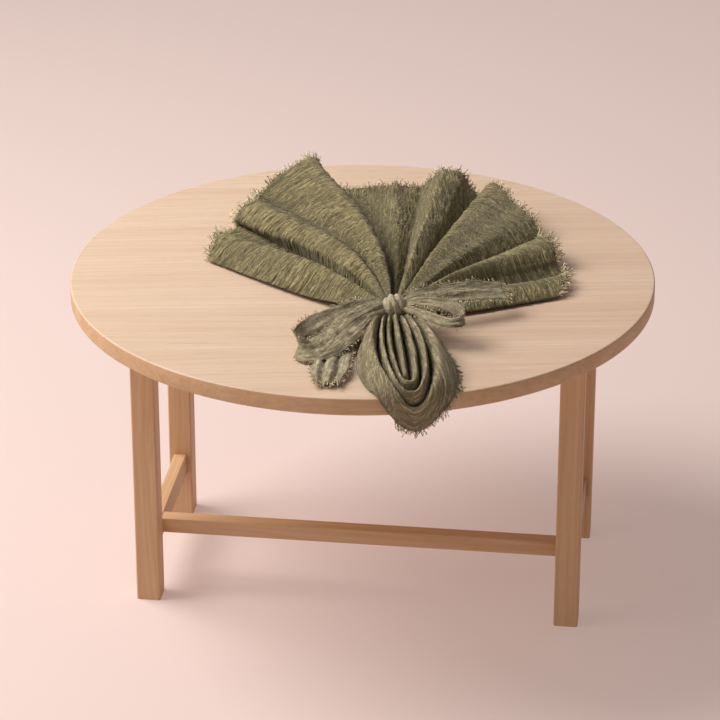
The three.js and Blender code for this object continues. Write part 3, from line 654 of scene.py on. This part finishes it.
def ring_lines(s):
    places = ring_places(s)
    step = 1e-3
    tangent = ring_places(np.minimum(s + step, 1)) - ring_places(np.maximum(s - step, 0))
    tangent /= np.linalg.norm(tangent, axis=-1, keepdims=True)
    out = np.stack([tangent[..., 1], -tangent[..., 0]], axis=-1)
    hand = np.where(s < 0.5, 1, -1)
    out[0] = np.stack([hand * math.sin(ROSETTE_AXIS), -hand * math.cos(ROSETTE_AXIS)], axis=-1)
    opened = smooth(np.minimum(s, 1 - s) / RING_FADE)
    far = np.sin(math.pi * s) ** 6
    neck_height = mix(NECK_TOP, NECK_LOW, np.arange(LAST_RING + 1) / LAST_RING)[:, None]
    height = mix(neck_height, mix(rings["height"][:, None], rings["end"][:, None], far), opened)
    spread = mix(0.2, 1, opened)
    run = rings["run"][:, None] * spread
    climb = rings["climb"][:, None] * spread
    points = np.concatenate([places, height[..., None]], axis=-1)
    ways = np.stack([out[..., 0] * run, out[..., 1] * run, climb], axis=-1)
    return points, ways


def over_the_edge(points):
    """Carries points that lie flat at their height over the table's rim, where the cloth turns down."""
    distance = np.hypot(points[..., 0], points[..., 1])
    start = TOP_RADIUS / MM - EDGE_ROUND
    lift = EDGE_CLEARANCE * smooth((distance - start + EDGE_RUN_UP) / EDGE_RUN_UP)
    height = np.maximum(np.maximum(points[..., 2], lift), LOWEST)
    past = distance - start
    bend = EDGE_ROUND + height
    turn = np.clip(past / bend, 0, math.pi / 2)
    outwards = np.where(past > 0, start + bend * np.sin(turn), distance)
    fallen = bend * np.cos(turn) - EDGE_ROUND - (past - turn * bend)
    z = np.where(past > 0, fallen, height)
    scale = outwards / distance
    return np.stack([points[..., 0] * scale, points[..., 1] * scale, z], axis=-1)


def rosette_points(out, s):
    """The rosette's surface: out counts rings from the middle line, s goes round from left to right."""
    points, ways = ring_lines(s)
    index = np.minimum(out.astype(int), LAST_RING - 1)
    part = (out - index)[:, None, None]
    made = hermite(points[index], ways[index], points[index + 1], ways[index + 1], part)
    return over_the_edge(made)


hem = {}


def rosette_piece(columns, rows):
    even = np.linspace(0, 1, columns)
    s = even + 0.35 * np.sin(2 * math.pi * even) / (2 * math.pi)
    out = np.linspace(0, LAST_RING, rows)
    grid = rosette_points(out, s)
    width = np.linalg.norm(np.diff(grid, axis=0), axis=2)
    width = np.concatenate([np.zeros((1, columns)), np.cumsum(width, axis=0)])
    length = np.linalg.norm(np.diff(grid, axis=1), axis=2)
    length = np.concatenate([np.zeros((rows, 1)), np.cumsum(length, axis=1)], axis=1)
    flat = np.stack([width, length], axis=-1)
    opened = smooth(np.minimum(s, 1 - s) / 0.2)[None, :]
    crest_shade = crinkle(flat * np.array([1.0, 0.7]), 40) * opened
    grid = grid + normals_of(grid) * crest_shade[..., None] * 0.9
    # Painted shade: the rosette's folds are darkened and their crests lightened in the colour.
    crest_shade = crest_shade + 0.6 * fold_depth(grid, 0, 13) * opened
    hem.update(s=s, points=grid[-1], out=grid[-1] - grid[-4])
    made = cloth_piece("rosette", grid.transpose(1, 0, 2), flat.transpose(1, 0, 2), crest_shade.T, rosette_gauze_painted_light)
    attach(made, "root")
    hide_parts("napkin")
    return made


rosette = rosette_piece(360, 100)

# The neck: where all the folds of the napkin are drawn together under the tie. It is a tight pleated
# bundle, made as a closed roll whose grooves run along it, as the band and the knot are made later.
NECK_HEIGHT = 15


def grooved_roll(radii, axis, grooves, depth, twist, columns=120, rows=36):
    """A closed roll about the X or Y axis, pinched at both ends, with grooves that run along that axis
    (grooves above 0) or round it (below 0), at the table's middle."""
    round_ = np.linspace(0, 2 * math.pi, columns, endpoint=False)
    part = np.linspace(-1, 1, rows + 1)[1:-1]
    turn, place = np.meshgrid(round_, part, indexing="ij")
    if grooves > 0:
        wave = turn * grooves + twist * place
    else:
        wave = place * -grooves * math.pi + twist * np.sin(turn)
    wave = wave + 0.7 * noise(3 * np.cos(turn) + 7, 3 * np.sin(turn) + place * 2, 21)
    swell = 1 + depth * (np.abs(np.cos(wave / 2)) - 0.6) + 0.03 * noise(turn * 3, place * 4, 22)
    pinch = np.sqrt(np.maximum(1 - np.abs(place) ** 2.6, 0.05)) * swell
    length = place * radii[0]
    side = pinch * np.cos(turn) * radii[1]
    high = pinch * np.sin(turn) * radii[2]
    order = (length, side, high) if axis == "X" else (-side, length, high)
    grid = np.stack(order, axis=-1)
    points = grid.reshape(-1, 3)
    count = columns * (rows - 1)
    index = np.arange(count).reshape(columns, rows - 1)
    after = np.roll(index, -1, axis=0)
    faces = np.stack([index[:, :-1], after[:, :-1], after[:, 1:], index[:, 1:]], axis=-1).reshape(-1, 4)
    end = np.array([radii[0], 0, 0] if axis == "X" else [0, radii[0], 0])
    points = np.concatenate([points, [-end, end]])
    caps = [(int(after[i, 0]), int(index[i, 0]), count) for i in range(columns)]
    caps += [(int(index[i, -1]), int(after[i, -1]), count + 1) for i in range(columns)]
    return points, faces.tolist() + caps, turn, place


def roll_piece(name, centre, radii, axis, grooves, depth, twist, finish, tilt=0.0):
    points, faces, turn, place = grooved_roll(radii, axis, grooves, depth, twist)
    c, s = math.cos(tilt), math.sin(tilt)
    turned = np.array([[c, -s, 0], [s, c, 0], [0, 0, 1]])
    points = (points @ turned.T + np.array(centre)) * MM + np.array(TOP_CENTRE)
    made = surface(name, points.tolist(), faces)
    uv = made.data.uv_layers.new(name="flat")
    corners = np.empty(len(made.data.loops), dtype=np.int32)
    made.data.loops.foreach_get("vertex_index", corners)
    around = np.append(turn.ravel() * radii[2], [0, 0])
    along = np.append(place.ravel() * radii[0], [-radii[0], radii[0]])
    places = np.stack([along, around], axis=-1)[corners] * MM + 1
    uv.data.foreach_set("uv", places.astype(np.float32).ravel())
    made.data.materials.append(finish)
    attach(made, "root")
    return made


neck_place = (KNOT[0], KNOT[1] - 2, NECK_HEIGHT)
neck = roll_piece("neck", neck_place, (28, 14.5, 10.5), "Y", 13, 0.22, 0.5, napkin_gauze)
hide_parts("napkin")

# The tie: a strip torn from the same cloth, wrapped once round the neck and tied in a small bow with a
# large left loop, a small right one and two tails. Each row is a place along a strip in mm from the
# knot (z above the table), half its width there, its lean about its path, and the depth of its folds.
# The right loop and the right tail stand clear of the table and the fan, held by the knot alone.
STRIP_COLUMNS = ["x", "y", "z", "half", "lean", "fold"]
LEFT_LOOP = [
    [-4, -4, 30, 6, -35, 1],
    [-28, -14, 32, 11, -30, 2],
    [-58, -35, 29, 16, -26, 3],
    [-87, -57, 24, 18, -30, 3],
    [-106, -75, 18, 15, -55, 2],
    [-110, -88, 13, 12, -105, 1],
    [-99, -95, 12, 13, -145, 2],
    [-78, -84, 14, 17, -162, 3],
    [-55, -61, 21, 16, -158, 3],
    [-30, -31, 28, 10, -138, 2],
    [-4, -7, 29, 5, -120, 1],
]
RIGHT_LOOP = [
    [4, -6, 29, 5, 20, 1],
    [28, -16, 38, 7, 20, 2],
    [55, -34, 42, 7, 25, 2],
    [74, -49, 39, 6.5, 70, 1.5],
    [77, -59, 34, 6, 100, 1],
    [65, -62, 31, 6.5, 145, 1.5],
    [42, -46, 31, 6.5, 155, 1.5],
    [18, -22, 31, 5, 160, 1.5],
    [3, -7, 29, 4, 160, 1],
]
LEFT_TAIL = [
    [-3, -7, 22, 5, 10, 1],
    [-30, -15, 17, 8, 8, 2],
    [-56, -50, 6, 13, 4, 3],
    [-70, -94, 6, 20, 3, 3],
    [-75, -132, 7, 20, 5, 3.5],
    [-79, -162, 6, 15, 4, 3],
]
RIGHT_TAIL = [
    [4, -2, 31, 6, 25, 1],
    [30, 3, 36, 10, 28, 2],
    [64, 12, 36, 13, 30, 2.5],
    [98, 24, 33, 14, 28, 2.5],
    [128, 35, 28, 13, 24, 2],
]
# A paler copy of the napkin's gauze: painted light on the tie's strip.
tie_gauze_painted_light = gauze_material("tie_gauze_painted_light", linear(170, 158, 126), linear(196, 184, 152), 0.6)


def spline(points, t):
    """A smooth curve through the points, at parts t of the way along it."""
    place = t * (len(points) - 1)
    index = np.minimum(place.astype(int), len(points) - 2)
    longer = np.concatenate([[2 * points[0] - points[1]], points, [2 * points[-1] - points[-2]]])
    p0, p1, p2, p3 = (longer[index + k] for k in range(4))
    steps = (p1 - p0, p2 - p1, p3 - p2)
    d0, d1, d2 = (np.linalg.norm(step, axis=1, keepdims=True) ** 0.5 for step in steps)
    way1 = ((p1 - p0) / d0 - (p2 - p0) / (d0 + d1) + (p2 - p1) / d1) * d1
    way2 = ((p2 - p1) / d1 - (p3 - p1) / (d1 + d2) + (p3 - p2) / d2) * d1
    return hermite(p1, way1, p2, way2, (place - index)[:, None])


def strip_points(table, t, side, pleats_across, depth, seed):
    strip = named(STRIP_COLUMNS, table)
    path = spline(np.stack([strip["x"], strip["y"], strip["z"]], axis=-1), t)
    along = np.gradient(path, axis=0)
    along /= np.linalg.norm(along, axis=1, keepdims=True)
    place = t * (len(table) - 1)
    index = np.minimum(place.astype(int), len(table) - 2)
    part = smooth(place - index)
    half, lean, fold = (mix(strip[k][index], strip[k][index + 1], part) for k in ("half", "lean", "fold"))
    flat = np.stack([along[:, 1], -along[:, 0], 0 * lean], axis=-1)
    flat /= np.linalg.norm(flat, axis=1, keepdims=True)
    angle = np.radians(lean)[:, None]
    across = flat * np.cos(angle) + np.cross(along, flat) * np.sin(angle)
    across += along * np.sum(along * flat, axis=1, keepdims=True) * (1 - np.cos(angle))
    normal = np.cross(across, along)
    u = side[None, :]
    folds = (np.cos(2 * math.pi * u) - 1) * fold[:, None] / 2
    sway = 0.9 * noise(t * 6, t * 0, seed)[:, None]
    pleating = np.sin(u * pleats_across + sway * 3) + 0.5 * np.sin(u * pleats_across * 1.9 + 2 + sway * 5)
    folds = 0.6 * folds + depth * fold[:, None] * pleating
    length = np.cumsum(np.append(0, np.linalg.norm(np.diff(path, axis=0), axis=1)))
    worn = u * half[:, None] * (1 + 0.07 * noise(length[:, None] / 7, u * 0.7, seed + 1))
    folds = folds + 0.7 * noise(length[:, None] / 10, u * 1.6, seed + 3) * smooth(length[:, None] / 30)
    grid = path[:, None] + across[:, None] * worn[..., None] + normal[:, None] * folds[..., None]
    grid = grid + np.array([KNOT[0], KNOT[1], 0])
    flat_place = np.stack([u * 14 + 0 * worn, length[:, None] + 0 * worn], axis=-1)
    crest_shade = crinkle(flat_place * np.array([1.0, 1.3]), seed + 2)
    grid = grid + normals_of(grid) * crest_shade[..., None] * 0.4
    # Painted shade: the strip's folds are darkened and its crests lightened in the colour.
    return grid, flat_place, crest_shade + 1.5 * fold_depth(grid, 1, 7)


def strip_piece(name, table, length_steps, side_steps, pleats_across, depth, seed):
    t = np.linspace(0, 1, length_steps)
    side = np.linspace(-1, 1, side_steps)
    grid, flat, crest_shade = strip_points(table, t, side, pleats_across, depth, seed)
    made = cloth_piece(name, grid, flat, crest_shade, tie_gauze_painted_light)
    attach(made, "root")
    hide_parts("tie")
    return made, grid


loop_left, loop_left_grid = strip_piece("loop_left", LEFT_LOOP, 280, 44, 6.0, 0.16, 51)
loop_right, loop_right_grid = strip_piece("loop_right", RIGHT_LOOP, 180, 30, 6.0, 0.2, 61)
tail_left, tail_left_grid = strip_piece("tail_left", LEFT_TAIL, 130, 52, 8.0, 0.5, 71)
tail_right, tail_right_grid = strip_piece("tail_right", RIGHT_TAIL, 170, 44, 4.5, 0.16, 81)
band_place = (KNOT[0], KNOT[1], NECK_HEIGHT)
band = roll_piece("tie_band", band_place, (8.5, 18.3, 14.2), "Y", -5, 0.12, 0.8, tie_gauze_painted_light)
# A still paler copy of the same gauze: painted light on the knot, whose front stands in shade.
knot_gauze_painted_light = gauze_material("knot_gauze_painted_light", linear(198, 186, 154), linear(222, 210, 178), 0.45)
knot_place = (KNOT[0], KNOT[1] - 9, KNOT[2] - 3)
knot = roll_piece("tie_knot", knot_place, (14, 12.5, 14), "X", -3.5, 0.2, 2.6, knot_gauze_painted_light, tilt=0.25)
for wrap in (band, knot):
    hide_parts("tie")

# The frayed edges: every torn edge has lost a few cross threads, so the others stand out of it as short
# crimped ends, painted paler towards their tips and darker at their roots as painted light and shade. They
# are grown along each edge from the edge's own line.
thread_cotton = bpy.data.materials.new("loose_cotton_thread")
thread_cotton.use_nodes = True
threads = Nodes(thread_cotton.node_tree)
thread_shader = thread_cotton.node_tree.nodes["Principled BSDF"]
along_thread = threads.add("ShaderNodeAttribute", "Fac", {"attribute_name": "along"})
which_thread = threads.add("ShaderNodeAttribute", "Fac", {"attribute_name": "thread"})
# Painted light and shade: each thread is paler towards its tip and darker at its root; its tone also varies
# at random from thread to thread.
tone_and_tip_light = threads.math("MULTIPLY_ADD", which_thread, 0.5, threads.math("MULTIPLY", along_thread, 0.75))
thread_colour = threads.blend(threads.ramp(tone_and_tip_light, 0.3, 1.1), linear(150, 136, 100), linear(246, 234, 200))
thread_cotton.node_tree.links.new(thread_colour, thread_shader.inputs["Base Color"])
thread_shader.inputs["Roughness"].default_value = 0.85


def fray_tree():
    tree = bpy.data.node_groups.new("frayed_edge", "GeometryNodeTree")
    for name, kind in (
        ("Edge", "NodeSocketGeometry"),
        ("Spacing", "NodeSocketFloat"),
        ("Shortest", "NodeSocketFloat"),
        ("Longest", "NodeSocketFloat"),
        ("Thickness", "NodeSocketFloat"),
        ("Spread", "NodeSocketFloat"),
        ("Curl", "NodeSocketFloat"),
        ("Seed", "NodeSocketInt"),
        ("Finish", "NodeSocketMaterial"),
    ):
        tree.interface.new_socket(name, in_out="INPUT", socket_type=kind)
    tree.interface.new_socket("Threads", in_out="OUTPUT", socket_type="NodeSocketGeometry")
    n = Nodes(tree)
    given = tree.nodes.new("NodeGroupInput").outputs

    def random(low, high, seed, vector=False):
        kind = "FLOAT_VECTOR" if vector else "FLOAT"
        limits = {"_0": low, "_1": high} if vector else {"_2": low, "_3": high}
        shifted = n.math("ADD", given["Seed"], seed)
        return n.add("FunctionNodeRandomValue", 0 if vector else 1, {"data_type": kind}, _8=shifted, **limits)

    line = n.add("GeometryNodeMeshToCurve", Mesh=given["Edge"])
    by_length = {"mode": "LENGTH"}
    roots = n.add("GeometryNodeResampleCurve", settings=by_length, Curve=line, Length=given["Spacing"])
    scatter = n.scaled(random((-1, -1, -1), (1, 1, 1), 1, True), (0.0006, 0.0006, 0.0004))
    roots = n.add("GeometryNodeSetPosition", Geometry=roots, Offset=scatter)
    out = n.add("GeometryNodeInputNamedAttribute", settings={"data_type": "FLOAT_VECTOR"}, Name="out")
    jitter = random((-1, -1, -1), (1, 1, 1), 2, True)
    spread = n.add("ShaderNodeVectorMath", settings={"operation": "SCALE"}, _0=jitter, Scale=given["Spread"])
    way = n.add("ShaderNodeVectorMath", settings={"operation": "ADD"}, _0=out, _1=spread)
    turn = n.add("FunctionNodeAlignRotationToVector", settings={"axis": "Z"}, Vector=way)
    length = random(given["Shortest"], given["Longest"], 3)
    size = n.add("ShaderNodeCombineXYZ", X=1.0, Y=1.0, Z=length)
    core = n.add("GeometryNodeCurvePrimitiveLine", End=(0, 0, 1))
    core = n.add("GeometryNodeResampleCurve", Curve=core, Count=7)
    part = n.add("GeometryNodeSplineParameter")
    core = n.add(
        "GeometryNodeStoreNamedAttribute",
        settings={"data_type": "FLOAT", "domain": "POINT"},
        Geometry=core,
        Name="along",
        Value=part,
    )
    core = n.add("GeometryNodeSetCurveRadius", Curve=core, Radius=n.ramp(part, 0.0, 1.0, 1.0, 0.45))
    ring = n.add("GeometryNodeCurvePrimitiveCircle", Resolution=3, Radius=given["Thickness"])
    thread = n.add("GeometryNodeCurveToMesh", Curve=core, Profile_Curve=ring)
    grown = n.add("GeometryNodeInstanceOnPoints", Points=roots, Instance=thread, Rotation=turn, Scale=size)
    grown = n.add(
        "GeometryNodeStoreNamedAttribute",
        settings={"data_type": "FLOAT", "domain": "INSTANCE"},
        Geometry=grown,
        Name="thread",
        Value=random(0.0, 1.0, 4),
    )
    grown = n.add("GeometryNodeRealizeInstances", Geometry=grown)
    along = n.add("GeometryNodeInputNamedAttribute", settings={"data_type": "FLOAT"}, Name="along")
    which = n.add("GeometryNodeInputNamedAttribute", settings={"data_type": "FLOAT"}, Name="thread")
    drift = n.add(
        "ShaderNodeTexNoise",
        "Color",
        {"noise_dimensions": "4D"},
        Vector=n.add("GeometryNodeInputPosition"),
        W=n.math("MULTIPLY", which, 90.0),
        Scale=140.0,
        Detail=1.0,
    )
    drift = n.add("ShaderNodeVectorMath", settings={"operation": "SUBTRACT"}, _0=drift, _1=(0.5, 0.5, 0.5))
    amount = n.math("MULTIPLY", n.math("POWER", along, 1.2), given["Curl"])
    drift = n.add("ShaderNodeVectorMath", settings={"operation": "SCALE"}, _0=drift, Scale=amount)
    grown = n.add("GeometryNodeSetPosition", Geometry=grown, Offset=drift)
    grown = n.add("GeometryNodeSetMaterial", Geometry=grown, Material=given["Finish"])
    tree.links.new(grown, tree.nodes.new("NodeGroupOutput").inputs["Threads"])
    return tree


frayed_edge = fray_tree()
fray_inputs = [item for item in frayed_edge.interface.items_tree if item.in_out == "INPUT"]
FRAY_SOCKETS = {item.name: item.identifier for item in fray_inputs}
TABLE_REACH = 0.006
THREAD_GAP = 0.0003


def grow_threads(edges, **values):
    """The threads of several edges as one mesh. An edge is its points in mm and the way out of the cloth."""
    points = []
    lines = []
    ways = []
    for edge, out in edges:
        first = len(points)
        points += list(edge * MM + np.array(TOP_CENTRE))
        ways += list(out / np.linalg.norm(out, axis=1, keepdims=True))
        lines += [(first + k, first + k + 1) for k in range(len(edge) - 1)]
    mesh = bpy.data.meshes.new("edge_line")
    mesh.from_pydata(points, lines, [])
    out_of_cloth = mesh.attributes.new("out", "FLOAT_VECTOR", "POINT")
    out_of_cloth.data.foreach_set("vector", np.array(ways, dtype=np.float32).ravel())
    holder = add_object("edge_line", mesh)
    grower = holder.modifiers.new("fray", "NODES")
    grower.node_group = frayed_edge
    for name, value in {**values, "Finish": thread_cotton}.items():
        grower[FRAY_SOCKETS[name]] = value
    graph = bpy.context.evaluated_depsgraph_get()
    grown = bpy.data.meshes.new_from_object(holder.evaluated_get(graph))
    bpy.data.objects.remove(holder)
    return grown


def fringe_piece(name, edges, longest, seed, replaced=(), fine=0.5, sparse=1.0, weight=1.0):
    """Thick crimped ends and fine fuzz along the edges, kept above the tabletop."""
    coarse = grow_threads(
        edges,
        Spacing=0.0015 * sparse,
        Shortest=0.55 * longest * MM,
        Longest=longest * MM,
        Thickness=0.0006 * weight,
        Spread=0.5,
        Curl=0.016,
        Seed=seed,
    )
    fuzz = grow_threads(
        edges,
        Spacing=0.0009 * sparse,
        Shortest=0.25 * longest * MM,
        Longest=fine * longest * MM,
        Thickness=0.0003 * weight,
        Spread=0.8,
        Curl=0.014,
        Seed=seed + 500,
    )
    made = add_object(name, coarse)
    joined = add_object(name + "_fuzz", fuzz)
    with bpy.context.temp_override(active_object=made, selected_editable_objects=[made, joined]):
        bpy.ops.object.join()
    places = np.empty(len(made.data.vertices) * 3, dtype=np.float32)
    made.data.vertices.foreach_get("co", places)
    places = places.reshape(-1, 3)
    over = np.hypot(places[:, 0] - TOP_CENTRE.x, places[:, 1] - TOP_CENTRE.y) < TOP_RADIUS
    above = over & (places[:, 2] > TOP_CENTRE.z - TABLE_REACH)
    places[above, 2] = np.maximum(places[above, 2], TOP_CENTRE.z + THREAD_GAP)
    made.data.vertices.foreach_set("co", places.ravel())
    made.data.update()
    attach(made, "root")
    if replaced:
        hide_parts(*replaced)
    return made


def fan_edge(start, end):
    """The fan's rim between two pleats: its points, and the way out of the cloth there."""
    picked = (fan_rim["across"] >= start) & (fan_rim["across"] <= end)
    return fan_rim["points"][picked], fan_rim["out"][picked]


def hem_edge(start, end):
    picked = (hem["s"] >= start) & (hem["s"] <= end)
    return hem["points"][picked], hem["out"][picked]


def strip_edges(grid, end=0.88):
    """The two long edges of a strip, without its ends in the knot."""
    first, last = int(len(grid) * 0.12), int(len(grid) * end)
    made = []
    for side, inner in ((0, 2), (-1, -3)):
        made.append((grid[first:last, side], grid[first:last, side] - grid[first:last, inner]))
    return made


def strip_end(grid):
    return [(grid[-1], grid[-1] - grid[-4])]


fringes = {
    "fringe_fan_left": [fan_edge(0.05, 5.0)],
    "fringe_fan_upper": [fan_edge(5.0, 8.95)],
    "fringe_fan_back": [fan_edge(10.3, 16.2)],
    "fringe_fan_right": [fan_edge(16.9, 20.0)],
    "fringe_fan_low": [fan_edge(21.0, 25.95)],
    "fringe_rosette": [hem_edge(0.42, 0.84)],
    "fringe_tail_left": strip_end(tail_left_grid),
    "fringe_tail_right": strip_end(tail_right_grid),
}
for order, (name, edges) in enumerate(fringes.items()):
    longest = 10 if "tail" in name else 12 if name == "fringe_rosette" else 14
    fringe_piece(name.replace("fringe", "frayed"), edges, longest, 10 * order, [name])
loop_edges = strip_edges(loop_left_grid) + strip_edges(loop_right_grid)
tail_edges = strip_edges(tail_left_grid, end=1) + strip_edges(tail_right_grid, end=1)
tie_edges = loop_edges + tail_edges
tie_fuzz = fringe_piece("frayed_tie_edges", tie_edges, 4.5, 200, fine=0.9, sparse=1.7, weight=0.55)
